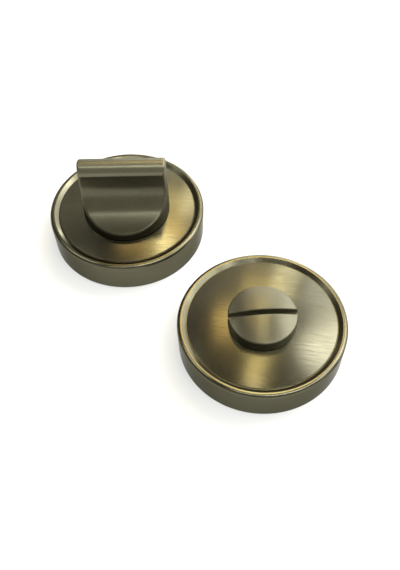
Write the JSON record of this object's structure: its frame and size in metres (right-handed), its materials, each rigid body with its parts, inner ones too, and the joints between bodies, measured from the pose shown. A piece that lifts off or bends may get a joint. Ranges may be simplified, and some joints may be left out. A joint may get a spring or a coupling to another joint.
{
  "type": "bathroom thumb turn lock",
  "caption": "Bathroom turn and release: a scooped thumb turn on a round rose for the inside and a slotted release button on a matching rose for the outside.",
  "frame": {"origin": "on the resting plane, which is the door face plane of both halves, midway between the two spindle axes", "axes": "+Z out of the door face, towards the thumb turn's top; +X along the thumb turn's blade; +Y from the release half towards the turn half"},
  "size_m": [0.0948, 0.0994, 0.0328],
  "materials": {
    "antique_bronze": "satin brushed antique bronze plating, clear lacquered",
    "turn_bronze": "satin antique bronze plating on a casting, brushed along the blade",
    "button_bronze": "satin antique bronze plating, brushed across the dome",
    "base_polymer": "moulded glass-filled nylon, black",
    "bush_polymer": "natural acetal",
    "spring_steel": "bright spring steel, oiled",
    "zinc_steel": "zinc plated steel",
    "plain_brass": "turned brass"
  },
  "bodies": {
    "root": {"turn_rose": "antique_bronze", "release_rose": "antique_bronze", "turn_base": "base_polymer", "release_base": "base_polymer", "turn_bush": "bush_polymer", "release_bush": "bush_polymer", "turn_thrust_washer": "bush_polymer", "release_thrust_washer": "bush_polymer", "turn_spring_ring": "spring_steel", "release_spring_ring": "spring_steel", "turn_disc_spring": "spring_steel", "release_disc_spring": "spring_steel", "release_insert_left": "plain_brass", "release_insert_right": "plain_brass"},
    "turn": {"thumb_turn": "turn_bronze", "turn_stop_washer": "zinc_steel", "turn_circlip": "spring_steel"},
    "release": {"release_button": "button_bronze", "release_stop_washer": "zinc_steel", "release_circlip": "spring_steel"}
  },
  "joints": [
    {"name": "thumb_turn_spin", "type": "hinge", "parent": "root", "child": "turn", "pos_m": [-0.0214, 0.0237, 0], "axis": [0, 0, 1], "range_deg": [0, 90]},
    {"name": "release_button_spin", "type": "hinge", "parent": "root", "child": "release", "pos_m": [0.0214, -0.0237, 0], "axis": [0, 0, 1], "range_deg": [-90, 0]}
  ]
}
